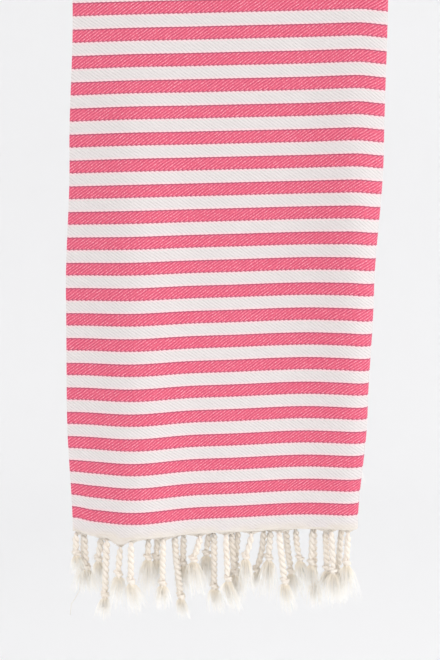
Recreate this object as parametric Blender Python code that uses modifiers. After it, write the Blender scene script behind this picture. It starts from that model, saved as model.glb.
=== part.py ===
"""Hammam towel: a flat-woven striped cotton towel with a twisted and knotted fringe at both ends.

The towel is folded in three along its length, one fold behind the other, and hangs over a bar
that is not part of it. The front flap is the longer one. Metres, +Z up, +X to the viewer's right,
and the viewer stands at -Y. The origin is on the underside of the crown, where the bar bears.
"""
import math
import random

import bmesh
import bpy

# The weave sets the length: one pink and one white stripe make a pair, and a white stripe ends it.
STRIPE = 0.0125
STRIPE_PAIRS = 66
CLOTH_LENGTH = (2 * STRIPE_PAIRS + 1) * STRIPE
CLOTH_THICKNESS = 0.0014

# How it is folded and hung.
FRONT_LENGTH = 0.880            # from the crown to the front hem, along the cloth
BACK_LENGTH = CLOTH_LENGTH - FRONT_LENGTH
BAR_RADIUS = 0.016              # the room that the crown leaves for a bar
LAYER_PITCH = 0.0030            # from one layer of the fold to the next
FRONT, MIDDLE, REAR = 2, 1, 0   # the three layers, counted out from the bar
HIDDEN_INSET = 0.004            # how far the rear layers stay inside the front one's edges
SKEW = 0.0245                   # rise of the stripes to the right, per metre across
EDGE_DRAG = 0.0020              # how far the stripes sink where they turn round the right fold
EDGE_DRAG_WIDTH = 0.030
CORNER_DROOP = 0.010            # how far the rear layer's hem hangs out below the others, near the left
CORNER_X = -0.101
CORNER_WIDTH = 0.012
CORNER_HEIGHT = 0.080

# The folded towel's two edges, down the front flap.
OUTLINE = (
    # along the cloth from the crown, left edge x, right edge x
    (-0.800, -0.150, 0.150),
    (0.000, -0.140, 0.160),
    (0.360, -0.142, 0.160),
    (0.500, -0.148, 0.158),
    (0.640, -0.153, 0.151),
    (0.760, -0.153, 0.146),
    (0.880, -0.150, 0.138),
)

# Soft folds that run down the flaps, as how far each one stands out from the flat flap.
FRONT_FOLDS = (
    # centre x, half width, then the depth at each of the distances in FOLD_ROWS
    (-0.084, 0.045, 0.000, 0.001, 0.022, 0.024),
    (0.004, 0.050, 0.000, 0.001, 0.008, 0.007),
    (0.130, 0.030, 0.000, 0.001, 0.018, 0.008),
)
BACK_FOLDS = (
    (-0.060, 0.050, 0.000, 0.002, 0.009, 0.014),
    (0.085, 0.045, 0.000, 0.004, 0.012, 0.010),
)
FOLD_ROWS = (0.060, 0.330, 0.600, 0.880)

# How finely the folded sheet is divided.
LAYER_COLUMNS = (14, 14, 16)    # rear, middle, front
BEND_STEPS = 6
FRONT_ROWS = 15
CROWN_ROWS = 8
BACK_ROWS = 8

# The fringe: warp ends twisted into cords, each with a knot and a loose tuft.
HEM_GAP = 0.0003                # between the cloth's hem and the strip that the cords grow from
STRIP_HEIGHT = 0.0025
CORD_RADIUS = 0.0031
ROOT_RADIUS = 0.0017
ROOT_TAPER_RADIUS = 0.0023      # one step down
KNOT_RADIUS = 0.0047
KNOT_HEIGHT = 0.0085
NECK_RADIUS = 0.0026
TUFT_RADIUS = 0.0050
TUFT_TIP_RADIUS = 0.0030
CORD_STEP = 0.0060              # between the rings of a cord
TWIST_PER_METRE = -math.radians(45) / CORD_STEP
LAYER_SWING = (-0.0030, 0.0040, 0.0095)  # rear, middle, front: how far the cords swing outwards
SWING_REACH = 0.040             # below the root, where they have swung that far

FRONT_TASSELS = (
    # layer, root x, knot x, root to knot, tuft length, bend (1 is straight, more bends low down)
    (FRONT, -0.147, -0.146, 0.020, 0.012, 1.3),
    (FRONT, -0.114, -0.116, 0.056, 0.022, 1.0),
    (FRONT, -0.089, -0.089, 0.047, 0.024, 1.0),
    (FRONT, -0.057, -0.058, 0.048, 0.020, 1.0),
    (FRONT, -0.020, -0.027, 0.024, 0.028, 1.6),
    (FRONT, 0.006, 0.008, 0.045, 0.022, 1.4),
    (FRONT, 0.032, 0.026, 0.024, 0.022, 1.6),
    (FRONT, 0.060, 0.066, 0.051, 0.020, 1.2),
    (FRONT, 0.113, 0.115, 0.040, 0.026, 1.0),
    (FRONT, 0.130, 0.128, 0.031, 0.028, 1.0),
    (MIDDLE, -0.139, -0.137, 0.036, 0.016, 1.8),
    (MIDDLE, -0.121, -0.124, 0.024, 0.020, 1.3),
    (MIDDLE, -0.072, -0.073, 0.020, 0.026, 1.0),
    (MIDDLE, -0.046, -0.040, 0.066, 0.018, 1.4),
    (MIDDLE, -0.006, -0.006, 0.057, 0.018, 1.0),
    (MIDDLE, 0.012, 0.015, 0.043, 0.024, 1.5),
    (MIDDLE, 0.052, 0.050, 0.030, 0.034, 1.0),
    (MIDDLE, 0.078, 0.082, 0.032, 0.024, 2.2),
    (MIDDLE, 0.095, 0.094, 0.036, 0.020, 1.0),
    (MIDDLE, 0.108, 0.110, 0.042, 0.022, 1.0),
    (REAR, -0.140, -0.141, 0.034, 0.022, 1.0),
    (REAR, -0.100, -0.102, 0.027, 0.022, 1.0),
    (REAR, -0.063, -0.065, 0.024, 0.024, 1.5),
    (REAR, -0.037, -0.038, 0.034, 0.024, 1.0),
    (REAR, -0.011, -0.014, 0.025, 0.026, 1.0),
    (REAR, 0.019, 0.016, 0.039, 0.022, 1.0),
    (REAR, 0.045, 0.038, 0.046, 0.010, 2.4),
    (REAR, 0.068, 0.074, 0.049, 0.022, 1.5),
    (REAR, 0.097, 0.098, 0.059, 0.020, 1.0),
    (REAR, 0.125, 0.122, 0.047, 0.022, 1.0),
)

# The back fringe is like the front one, evenly spaced and otherwise drawn by chance in these ranges.
BACK_TASSELS_PER_LAYER = 10
BACK_MARGIN = 0.012             # from the cloth's edges to the outermost cords
BACK_STRAY = 0.002              # how far a knot hangs to either side of its root
BACK_DROPS = (0.026, 0.046)
BACK_TUFTS = (0.020, 0.028)
BACK_BENDS = (1.0, 1.5)
BACK_SEED = 12


def smooth(t):
    """Ease from 0 to 1 with level ends."""
    t = min(max(t, 0.0), 1.0)
    return t * t * (3 - 2 * t)


def blend_rows(at, stops, values):
    """The value at a place, eased from one row of a table to the next."""
    if at <= stops[0]:
        return values[0]
    for k in range(1, len(stops)):
        if at <= stops[k]:
            share = smooth((at - stops[k - 1]) / (stops[k] - stops[k - 1]))
            return values[k - 1] + (values[k] - values[k - 1]) * share
    return values[-1]


def edges(along):
    """The folded towel's left and right edge, at a distance along the cloth from the crown."""
    stops = [row[0] for row in OUTLINE]
    left = blend_rows(along, stops, [row[1] for row in OUTLINE])
    right = blend_rows(along, stops, [row[2] for row in OUTLINE])
    return left, right


def layer_lift(layer):
    """A layer's mid-surface, measured out from the bar."""
    return CLOTH_THICKNESS / 2 + layer * LAYER_PITCH


def crown_quarter():
    """From the top of the crown to where the flaps hang free, along the front layer."""
    return (BAR_RADIUS + layer_lift(FRONT)) * math.pi / 2


def corner_droop(layer, x, along):
    """How much lower the rear layer hangs at the front hem, near the left, where it was folded askew."""
    if layer != REAR:
        return 0.0
    near = math.exp(-((x - CORNER_X) / CORNER_WIDTH) ** 2)
    return CORNER_DROOP * near * smooth((along - FRONT_LENGTH) / CORNER_HEIGHT + 1)


def fold_depth(x, along):
    """How far the flap stands out from the flat there, whatever its layer."""
    folds = FRONT_FOLDS if along > 0 else BACK_FOLDS
    depth = 0.0
    for centre, half_width, *depths in folds:
        bulge = math.exp(-((x - centre) / half_width) ** 2)
        depth += bulge * blend_rows(abs(along), FOLD_ROWS, depths)
    return depth


def place(x, lift, along):
    """The point at x across, lift out from the bar and a distance along the cloth from the crown.

    The inner layers have the shorter way over the bar and lie a little gathered there, so the hems are level.
    """
    along -= SKEW * x
    if along > 0:
        along += EDGE_DRAG * smooth((x - edges(along)[1] + EDGE_DRAG_WIDTH) / EDGE_DRAG_WIDTH)
    reach = BAR_RADIUS + lift
    quarter = crown_quarter()
    if abs(along) < quarter:
        angle = along / quarter * math.pi / 2
        return (x, -reach * math.sin(angle), reach * math.cos(angle) - BAR_RADIUS)
    side = math.copysign(1, along)
    out = reach + fold_depth(x, along)
    return (x, -side * out, -BAR_RADIUS - (abs(along) - quarter))


def folded_section():
    """The back-and-forth section, from the front layer's left selvedge to the rear layer's right one.

    Each column is (layer, inset at the left, inset at the right, share across, bulge at a fold, lift).
    """
    bend = LAYER_PITCH / 2
    left_turn = HIDDEN_INSET + bend
    right_turn = bend
    spans = (
        # layer, inset at the left, inset at the right, 1 if it runs to the right
        (FRONT, 0.0, right_turn, 1),
        (MIDDLE, left_turn, right_turn, -1),
        (REAR, left_turn, HIDDEN_INSET, 1),
    )
    columns = []
    for layer, left_inset, right_inset, direction in spans:
        count = LAYER_COLUMNS[layer]
        shares = [k / (count - 1) for k in range(count)]
        for share in shares[::direction]:
            columns.append((layer, left_inset, right_inset, share, 0.0, layer_lift(layer)))
        if layer == REAR:
            break
        for k in range(1, BEND_STEPS):
            turn = math.pi * k / BEND_STEPS
            bulge = direction * bend * math.sin(turn)
            lift = layer_lift(layer) - bend * (1 - math.cos(turn))
            share = 1.0 if direction > 0 else 0.0
            columns.append((layer, left_inset, right_inset, share, bulge, lift))
    return columns


def column_point(column, along):
    """The point of one column of the section at a distance along the cloth."""
    layer, left_inset, right_inset, share, bulge, lift = column
    left, right = edges(along)
    left += left_inset
    right -= right_inset
    x = left + (right - left) * share + bulge
    return place(x, lift, along + corner_droop(layer, x, along))


def new_object(name, mesh, material, collection):
    """A named object in the towel's collection."""
    obj = bpy.data.objects.new(name, mesh)
    obj.data.materials.clear()
    obj.data.materials.append(material)
    collection.objects.link(obj)
    return obj


def new_material(name, color, roughness):
    """A plain cloth or yarn finish."""
    material = bpy.data.materials.new(name)
    material.use_nodes = True
    shader = material.node_tree.nodes["Principled BSDF"]
    shader.inputs["Base Color"].default_value = (*color, 1)
    shader.inputs["Roughness"].default_value = roughness
    shader.inputs["Metallic"].default_value = 0
    return material


def folded_sheet(name, rows, material, collection):
    """An open grid wrapped onto the folded section at each row, then given its thickness."""
    columns = folded_section()
    mesh = bpy.data.meshes.new(name)
    sheet = bmesh.new()
    bmesh.ops.create_grid(sheet, x_segments=len(columns) - 1, y_segments=len(rows) - 1, size=0.5)
    for vert in sheet.verts:
        column = round((vert.co.x + 0.5) * (len(columns) - 1))
        row = round((vert.co.y + 0.5) * (len(rows) - 1))
        vert.co = column_point(columns[column], rows[row])
    sheet.to_mesh(mesh)
    sheet.free()
    mesh.shade_smooth()
    obj = new_object(name, mesh, material, collection)
    thicken = obj.modifiers.new("thickness", "SOLIDIFY")
    thicken.thickness = CLOTH_THICKNESS
    thicken.offset = 0
    thicken.use_even_offset = True
    thicken.use_quality_normals = True
    return obj


def cloth_rows():
    """Distances along the cloth from the back hem, over the crown, to the front hem."""
    quarter = crown_quarter()
    back = [-BACK_LENGTH + (BACK_LENGTH - quarter) * k / BACK_ROWS for k in range(BACK_ROWS)]
    crown = [-quarter + 2 * quarter * k / CROWN_ROWS for k in range(CROWN_ROWS)]
    front = [quarter + (FRONT_LENGTH - quarter) * k / FRONT_ROWS for k in range(FRONT_ROWS + 1)]
    return back + crown + front


def tassel_rings(drop, tuft_length):
    """Distances below the root and the radius there: cord, knot, neck and tuft."""
    steps = max(2, round((drop - KNOT_HEIGHT / 2) / CORD_STEP))
    rings = [(0.0, ROOT_RADIUS)]
    for k in range(1, steps + 1):
        radius = ROOT_TAPER_RADIUS if k == 1 else CORD_RADIUS
        rings.append(((drop - KNOT_HEIGHT * 0.6) * k / steps, radius))
    rings.append((drop - KNOT_HEIGHT * 0.25, KNOT_RADIUS))
    rings.append((drop + KNOT_HEIGHT * 0.25, KNOT_RADIUS))
    rings.append((drop + KNOT_HEIGHT * 0.60, NECK_RADIUS))
    tuft_top = drop + KNOT_HEIGHT * 0.60
    rings.append((tuft_top + tuft_length * 0.55, TUFT_RADIUS))
    rings.append((tuft_top + tuft_length, TUFT_TIP_RADIUS))
    return rings


def add_tassel(curve, end, layer, root_x, knot_x, drop, tuft_length, bend):
    """One spline down a tassel: its radius makes the knot and tuft, and its tilt the twist.

    Past the knot the tuft soon hangs straight down.
    """
    hem = FRONT_LENGTH if end > 0 else BACK_LENGTH
    along = end * (hem + HEM_GAP + STRIP_HEIGHT / 2)
    root = place(root_x, layer_lift(layer), along + corner_droop(layer, root_x, along))
    rings = tassel_rings(drop, tuft_length)
    spline = curve.splines.new("POLY")
    spline.points.add(len(rings) - 1)
    for point, (below, radius) in zip(spline.points, rings):
        share = min(below / drop, 1.1)
        x = root[0] + (knot_x - root_x) * share ** bend
        y = root[1] - end * LAYER_SWING[layer] * math.sqrt(min(below / SWING_REACH, 1))
        point.co = (x, y, root[2] - below, 1)
        point.radius = radius
        point.tilt = TWIST_PER_METRE * below


def back_tassels():
    """Rows for the back fringe, with the same columns as those of the front."""
    chance = random.Random(BACK_SEED)
    left, right = edges(-BACK_LENGTH)
    count = 3 * BACK_TASSELS_PER_LAYER
    spacing = (right - left - 2 * BACK_MARGIN) / (count - 1)
    rows = []
    for k in range(count):
        layer = (FRONT, REAR, MIDDLE)[k % 3]
        root_x = left + BACK_MARGIN + k * spacing
        knot_x = root_x + chance.uniform(-BACK_STRAY, BACK_STRAY)
        drop = chance.uniform(*BACK_DROPS)
        tuft_length = chance.uniform(*BACK_TUFTS)
        rows.append((layer, root_x, knot_x, drop, tuft_length, chance.uniform(*BACK_BENDS)))
    return rows


def fringe(name, end, tassels, material, collection, cutters):
    """A narrow folded strip along the hem with all its tassels fused to it."""
    hem = FRONT_LENGTH if end > 0 else BACK_LENGTH
    rows = [end * (hem + HEM_GAP), end * (hem + HEM_GAP + STRIP_HEIGHT)]
    strip = folded_sheet(name, sorted(rows), material, collection)

    curve = bpy.data.curves.new(name + "_cords", "CURVE")
    curve.dimensions = "3D"
    curve.bevel_depth = 1.0     # each point's radius is then its real one
    curve.bevel_resolution = 0  # four sides
    curve.use_fill_caps = True
    for tassel in tassels:
        add_tassel(curve, end, *tassel)
    cords = bpy.data.objects.new(name + "_cords", curve)
    cutters.objects.link(cords)
    bpy.context.view_layer.update()
    evaluated = cords.evaluated_get(bpy.context.evaluated_depsgraph_get())
    mesh = bpy.data.meshes.new_from_object(evaluated)
    bpy.data.objects.remove(cords)
    welded = bmesh.new()
    welded.from_mesh(mesh)
    bmesh.ops.remove_doubles(welded, verts=welded.verts, dist=0.00001)
    welded.to_mesh(mesh)
    welded.free()
    tool = bpy.data.objects.new(name + "_cords", mesh)
    cutters.objects.link(tool)
    tool.hide_render = True
    tool.display_type = "WIRE"

    union = strip.modifiers.new("cords", "BOOLEAN")
    union.operation = "UNION"
    union.solver = "EXACT"
    union.object = tool
    return strip


for old in list(bpy.data.objects):
    bpy.data.objects.remove(old)

towel = bpy.data.collections.new("hammam_towel")
bpy.context.scene.collection.children.link(towel)
tools = bpy.data.collections.new("cutters")
bpy.context.scene.collection.children.link(tools)

weave = new_material("striped_cotton", (0.82, 0.29, 0.38), 0.85)
yarn = new_material("natural_cotton_yarn", (0.84, 0.77, 0.66), 0.90)

folded_sheet("cloth", cloth_rows(), weave, towel)
fringe("fringe_front", 1, FRONT_TASSELS, yarn, towel, tools)
fringe("fringe_back", -1, back_tassels(), yarn, towel, tools)
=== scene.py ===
"""Hammam towel: its woven panel and knotted fringes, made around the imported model. Metres, +Z up."""
import math
import random

import bmesh
import bpy
from mathutils import Matrix, Vector, noise


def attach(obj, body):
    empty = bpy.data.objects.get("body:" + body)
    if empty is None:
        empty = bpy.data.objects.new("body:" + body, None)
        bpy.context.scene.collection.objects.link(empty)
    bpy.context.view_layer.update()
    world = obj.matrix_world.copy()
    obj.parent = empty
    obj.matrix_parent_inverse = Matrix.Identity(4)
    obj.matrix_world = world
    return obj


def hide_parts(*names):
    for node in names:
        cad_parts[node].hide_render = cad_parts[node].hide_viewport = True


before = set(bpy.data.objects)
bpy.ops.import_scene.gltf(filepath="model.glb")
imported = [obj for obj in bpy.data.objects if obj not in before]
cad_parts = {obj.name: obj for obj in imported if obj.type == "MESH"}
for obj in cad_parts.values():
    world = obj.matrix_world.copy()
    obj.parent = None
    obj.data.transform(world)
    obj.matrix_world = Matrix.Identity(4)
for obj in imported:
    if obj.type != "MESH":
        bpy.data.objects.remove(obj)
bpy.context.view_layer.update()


# Camera. It looks from about 1.2 m in front of the towel and a little down on its lower part.
bpy.ops.object.camera_add(location=(0, -1.162, -0.507), rotation=(math.radians(82.5), 0, 0))
camera = bpy.context.object
camera.name = "camera"
camera.data.lens = 62.45
camera.data.sensor_width = 36
bpy.context.scene.camera = camera


# Woven panel. One length of flat-woven cotton twill in even pink and white cross stripes. It is folded in
# three along its length and hangs over the room for a bar, with its middle and rear layers hidden. Its
# selvedges and ends are part of it: nothing is sewn on.
STRIPE = 0.0125
STRIPE_PAIRS = 66
CLOTH_LENGTH = (2 * STRIPE_PAIRS + 1) * STRIPE
CLOTH_WIDTH = 0.90
CLOTH_THICKNESS = 0.0014
FRONT_LENGTH = 0.880            # along the cloth, from the crown to the front flap's last stripe
BACK_LENGTH = CLOTH_LENGTH - FRONT_LENGTH
HEM = 0.0028                    # past the last stripe at each end: cream picks, which the fringe grows from
BAR_RADIUS = 0.016              # the room that the crown leaves
LAYER_PITCH = 0.0030            # from one layer of the fold to the next
FRONT, MIDDLE, REAR = 2, 1, 0   # the layers, counted outwards from the bar
HIDDEN_INSET = 0.004            # how far the hidden layers stay inside the front one's edges
SKEW = 0.0245                   # rise of the stripes to the right, per metre across
EDGE_DRAG_ROWS = (0.660, 0.860)
EDGE_DRAGS = (0.0024, 0.0006)   # how much lower the picks lie along the right edge, at those distances
EDGE_DRAG_WIDTH = 0.030
CORNER_LIFT = 0.0036            # how far the hem's left corner is pulled up
CORNER_LIFT_WIDTH = 0.022
CORNER_LIFT_HEIGHT = 0.120
CORD_PULL = 0.0060              # how far one cord pulls the front hem's last picks down
CORD_PULL_X = -0.101
CORD_PULL_WIDTH = 0.0092
OUTLINE = (
    # along the cloth from the crown, left edge x, right edge x
    (-0.800, -0.150, 0.150),
    (0.000, -0.140, 0.160),
    (0.360, -0.142, 0.162),
    (0.500, -0.147, 0.160),
    (0.640, -0.153, 0.152),
    (0.760, -0.154, 0.148),
    (0.880, -0.150, 0.140),
)
FRONT_FOLDS = (
    # centre x, half width, then the depth at each of the distances in FOLD_ROWS
    (-0.084, 0.045, 0.000, 0.001, 0.022, 0.024),
    (0.004, 0.050, 0.000, 0.001, 0.008, 0.007),
    (0.130, 0.030, 0.000, 0.001, 0.018, 0.008),
)
BACK_FOLDS = (
    (-0.060, 0.050, 0.000, 0.002, 0.009, 0.014),
    (0.085, 0.045, 0.000, 0.004, 0.012, 0.010),
)
FOLD_ROWS = (0.060, 0.330, 0.600, 0.880)
ROLL_DEPTH = 0.0045             # how far the front layer stands out where it rolls round the right fold
ROLL_WIDTH = 0.015
ROLL_START, ROLL_RISE = 0.05, 0.35          # from the crown, where the roll begins and how slowly it grows
RIPPLE = 0.0006                 # the small unevenness of cloth that has been folded and washed
RIPPLE_START, RIPPLE_RISE = 0.04, 0.10
RIPPLES = ((14, 9, 0.4, 1.0), (31, 17, 2.7, 0.5))       # scale across, scale along, seed, weight
LAYER_STEPS = {FRONT: 44, MIDDLE: 22, REAR: 22}
ROLL_STEPS = 9
BEND_STEPS = 7
ROWS_PER_STRIPE = 3
RIM_ANGLE = math.radians(60)    # edges sharper than this are the cloth's cut rim


def smooth(t):
    """Ease from 0 to 1 with level ends."""
    t = min(max(t, 0.0), 1.0)
    return t * t * (3 - 2 * t)


def blend_rows(at, stops, values):
    """The value at a place, eased from one row of a table to the next."""
    if at <= stops[0]:
        return values[0]
    for k in range(1, len(stops)):
        if at <= stops[k]:
            share = smooth((at - stops[k - 1]) / (stops[k] - stops[k - 1]))
            return values[k - 1] + (values[k] - values[k - 1]) * share
    return values[-1]


OUTLINE_STOPS, LEFT_EDGES, RIGHT_EDGES = zip(*OUTLINE)


def edges(along):
    """The folded towel's left and right edge, at a distance along the cloth from the crown."""
    return blend_rows(along, OUTLINE_STOPS, LEFT_EDGES), blend_rows(along, OUTLINE_STOPS, RIGHT_EDGES)


def fold_depth(x, along):
    """How far the flap stands out from the flat there, whatever its layer."""
    depth = 0.0
    for centre, half_width, *depths in FRONT_FOLDS if along > 0 else BACK_FOLDS:
        depth += math.exp(-((x - centre) / half_width) ** 2) * blend_rows(abs(along), FOLD_ROWS, depths)
    ripple = sum(weight * noise.noise((x * wide, along * long, seed))
                 for wide, long, seed, weight in RIPPLES)
    return depth + RIPPLE * ripple * smooth((abs(along) - RIPPLE_START) / RIPPLE_RISE)


def roll_lift(x, along):
    """How far the front layer stands out from the others, down to nothing where it turns round the fold."""
    from_edge = (edges(along)[1] - x) / ROLL_WIDTH
    share = min(max(from_edge, 0.0), 1.0)
    return ROLL_DEPTH * math.sqrt(1 - (1 - share) ** 2) * smooth((along - ROLL_START) / ROLL_RISE)


def layer_lift(layer):
    """A layer's mid-surface, measured out from the bar."""
    return CLOTH_THICKNESS / 2 + layer * LAYER_PITCH


def cord_pull(layer, x, along):
    """How far the front layer's end is pulled down, near the left, by the cord that hangs there."""
    if layer != FRONT:
        return 0.0
    near = math.exp(-((x - CORD_PULL_X) / CORD_PULL_WIDTH) ** 4)
    return CORD_PULL * near * smooth((along - FRONT_LENGTH) / HEM)


def place(x, lift, along):
    """The point at x across, lift out from the bar and a distance along the cloth from the crown."""
    along -= SKEW * x
    if along > 0:
        left, right = edges(along)
        drag = blend_rows(along, EDGE_DRAG_ROWS, EDGE_DRAGS)
        low = max(0.0, 1 - (FRONT_LENGTH - along) / CORNER_LIFT_HEIGHT)
        along += drag * smooth((x - right + EDGE_DRAG_WIDTH) / EDGE_DRAG_WIDTH)
        along -= CORNER_LIFT * low ** 2 * smooth((left + CORNER_LIFT_WIDTH - x) / CORNER_LIFT_WIDTH)
    reach = BAR_RADIUS + lift
    quarter = (BAR_RADIUS + layer_lift(FRONT)) * math.pi / 2
    if abs(along) < quarter:
        angle = along / quarter * math.pi / 2
        return Vector((x, -reach * math.sin(angle), reach * math.cos(angle) - BAR_RADIUS))
    side = math.copysign(1, along)
    return Vector((x, -side * (reach + fold_depth(x, along)), -BAR_RADIUS - (abs(along) - quarter)))


def layer_point(layer, x, along):
    """A point of one layer's mid-surface."""
    lift = layer_lift(layer)
    if layer == FRONT:
        lift += roll_lift(x, along)
    return place(x, lift, along + cord_pull(layer, x, along))


def roll_places():
    """Where the roll's columns stand across it and how much of its cloth lies before each, as shares."""
    turns = [k / ROLL_STEPS * math.pi / 2 for k in range(ROLL_STEPS + 1)]
    outline = [(ROLL_WIDTH * math.sin(turn), ROLL_DEPTH * math.cos(turn)) for turn in turns]
    lengths = [math.dist(*outline[k:k + 2]) for k in range(ROLL_STEPS)]
    whole = sum(lengths)
    return [(math.sin(turns[k]), sum(lengths[:k]) / whole) for k in range(1, ROLL_STEPS + 1)]


def folded_section():
    """The columns of the back-and-forth section, from the front layer's selvedge to the rear layer's.

    Each is (layer, inset at the left, inset at the right, share across, bulge at a fold, drop at a fold,
    distance across the flat cloth).
    """
    bend = LAYER_PITCH / 2
    left_turn = HIDDEN_INSET + bend
    spans = ((FRONT, 0.0, bend, 1), (MIDDLE, left_turn, bend, -1), (REAR, left_turn, HIDDEN_INSET, 1))
    layer_width = (CLOTH_WIDTH - 2 * math.pi * bend) / 3
    columns = []
    flat = 0.0
    for layer, left_inset, right_inset, direction in spans:
        count = LAYER_STEPS[layer]
        shares = [(k / count, k / count) for k in range(count + 1)]
        if layer == FRONT:
            rolled = ROLL_WIDTH / layer_width
            shares = [(share * (1 - rolled), run * (1 - rolled)) for share, run in shares]
            shares += [(1 - rolled + rolled * share, 1 - rolled + rolled * run)
                       for share, run in roll_places()]
        for share, run in shares[::direction]:
            across = run if direction > 0 else 1 - run
            columns.append((layer, left_inset, right_inset, share, 0.0, 0.0, flat + across * layer_width))
        flat += layer_width
        if layer == REAR:
            break
        for k in range(1, BEND_STEPS):
            turn = math.pi * k / BEND_STEPS
            share = 1.0 if direction > 0 else 0.0
            columns.append((layer, left_inset, right_inset, share, direction * bend * math.sin(turn),
                            bend * (1 - math.cos(turn)), flat + bend * turn))
        flat += math.pi * bend
    return columns


columns = folded_section()
cloth_rows = [-BACK_LENGTH + k * STRIPE / ROWS_PER_STRIPE
              for k in range((2 * STRIPE_PAIRS + 1) * ROWS_PER_STRIPE + 1)]
cloth_rows = [-BACK_LENGTH - HEM, *cloth_rows, FRONT_LENGTH + HEM]

bpy.ops.object.select_all(action="DESELECT")
last_column, last_row = len(columns) - 1, len(cloth_rows) - 1
bpy.ops.mesh.primitive_grid_add(x_subdivisions=last_column, y_subdivisions=last_row, size=1)
panel = bpy.context.object
panel.name = panel.data.name = "woven_panel"
flat_map = panel.data.uv_layers[0]
flat_map.name = "flat"
grid = [(round((vert.co.x + 0.5) * last_column), round((vert.co.y + 0.5) * last_row))
        for vert in panel.data.vertices]
for loop in panel.data.loops:
    column, row = grid[loop.vertex_index]
    flat_map.data[loop.index].uv = (columns[column][6], FRONT_LENGTH - cloth_rows[row])
for vert, (column, row) in zip(panel.data.vertices, grid):
    layer, left_inset, right_inset, share, bulge, drop, _ = columns[column]
    along = cloth_rows[row]
    left, right = edges(along)
    left += left_inset
    right -= right_inset
    x = left + (right - left) * share
    if drop:
        x += bulge
        vert.co = place(x, layer_lift(layer) - drop, along + cord_pull(layer, x, along))
    else:
        vert.co = layer_point(layer, x, along)
thicken = panel.modifiers.new("thickness", "SOLIDIFY")
thicken.thickness = CLOTH_THICKNESS
thicken.offset = 0
thicken.use_quality_normals = True
bpy.ops.object.modifier_apply(modifier=thicken.name)
bpy.ops.object.shade_smooth()
bpy.ops.object.mode_set(mode="EDIT")
bpy.ops.mesh.select_all(action="DESELECT")
bpy.ops.mesh.edges_select_sharp(sharpness=RIM_ANGLE)
bpy.ops.mesh.mark_sharp()
bpy.ops.object.mode_set(mode="OBJECT")


def add_math(tree, operation, *values, clamp=False):
    """A Math node, its inputs linked or set, and its output."""
    node = tree.nodes.new("ShaderNodeMath")
    node.operation = operation
    node.use_clamp = clamp
    for socket, value in zip(node.inputs, values):
        if isinstance(value, bpy.types.NodeSocket):
            tree.links.new(value, socket)
        else:
            socket.default_value = value
    return node.outputs[0]


def add_ramp(tree, factor, stops):
    """A Color Ramp over (position, colour) stops."""
    ramp = tree.nodes.new("ShaderNodeValToRGB")
    tree.links.new(factor, ramp.inputs[0])
    points = ramp.color_ramp.elements
    while len(points) < len(stops):
        points.new(0.5)
    for point, (position, color) in zip(points, stops):
        point.position = position
        point.color = (*color, 1)
    return ramp.outputs[0]


def add_noise(tree, vector, scale, detail=2.0):
    """A Noise Texture's value, about 0.5 on average."""
    texture = tree.nodes.new("ShaderNodeTexNoise")
    tree.links.new(vector, texture.inputs["Vector"])
    texture.inputs["Scale"].default_value = scale
    texture.inputs["Detail"].default_value = detail
    return texture.outputs["Fac"]


def add_mix(tree, factor, first, second, blend="MIX"):
    """A Mix node for colours."""
    node = tree.nodes.new("ShaderNodeMix")
    node.data_type = "RGBA"
    node.blend_type = blend
    for socket, value in zip((node.inputs[0], node.inputs[6], node.inputs[7]), (factor, first, second)):
        if isinstance(value, bpy.types.NodeSocket):
            tree.links.new(value, socket)
        elif isinstance(value, tuple):
            socket.default_value = (*value, 1)
        else:
            socket.default_value = value
    return node.outputs[2]


END_PITCH = 0.00073             # between warp ends
PICK_PITCH = 0.00052            # between weft picks
TWILL_REPEAT = 6                # ends and picks from one diagonal to the next
DIAGONAL_WANDER = 0.30          # how far a diagonal strays, as a share of the repeat
WANDER_SCALE, PATCH_SCALE, GRAIN_SCALE = 110, 210, 1000
WARP_FLOAT = 0.2                # how near a diagonal's middle the warp lies on top, in repeats
RIB_HEIGHT, THREAD_HEIGHT = 0.9, 0.5
STREAK_SCALE = 40.0             # across, for the picks' uneven shade
GRAIN_WEIGHT, PATCH_WEIGHT, CLEAR_BASE = 2.6, 2.0, -1.70        # how clear the diagonals are
FLECK_MIDDLE, FLECK_WIDTH = 0.42, 0.16      # the part of a diagonal where warp ends may peep out
FLECK_SHARE = 0.20


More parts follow.
